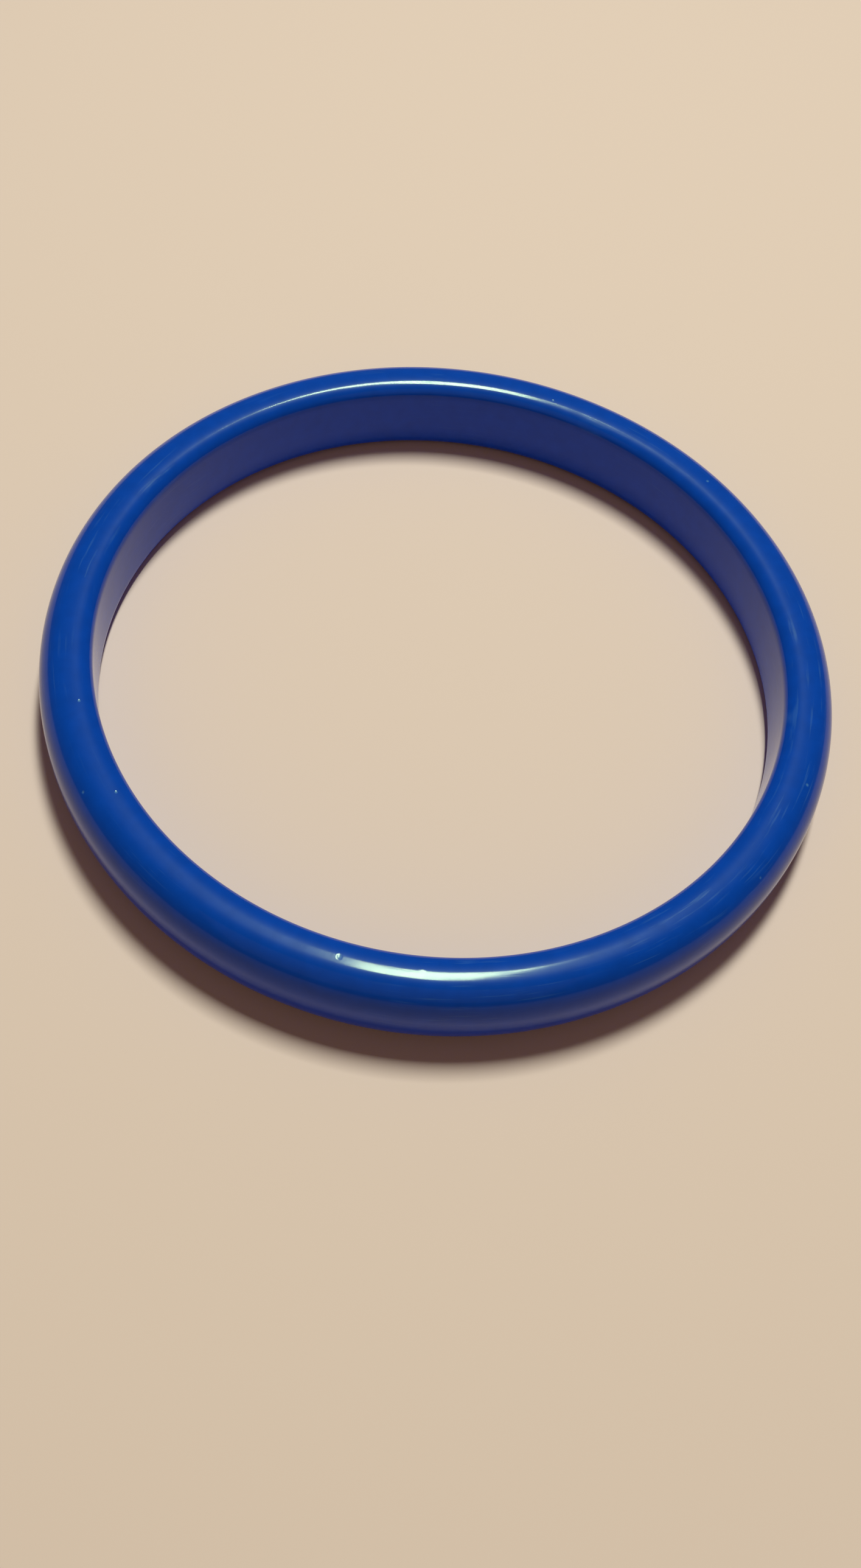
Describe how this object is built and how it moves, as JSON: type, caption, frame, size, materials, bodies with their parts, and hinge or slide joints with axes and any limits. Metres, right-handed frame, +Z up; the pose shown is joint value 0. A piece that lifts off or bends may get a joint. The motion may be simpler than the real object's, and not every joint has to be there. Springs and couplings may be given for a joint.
{
  "type": "bangle bracelet",
  "caption": "Rigid round slip-on bangle: a closed ring of glossy blue plastic with a flat inner wall and a softly domed outer side, worn over the hand.",
  "frame": {"origin": "centre of the circle that the bangle rests on, at the bottom of its lower face", "axes": "+Z up along the axis of the ring; +X and +Y lie in the plane of the ring, which is the same all the way round"},
  "size_m": [0.0752, 0.0752, 0.0084],
  "materials": {
    "bangle_plastic": "glossy opaque cobalt blue, lightly worn, with small nicks and hairline scratches"
  },
  "bodies": {
    "root": {"bangle": "bangle_plastic"}
  },
  "joints": []
}
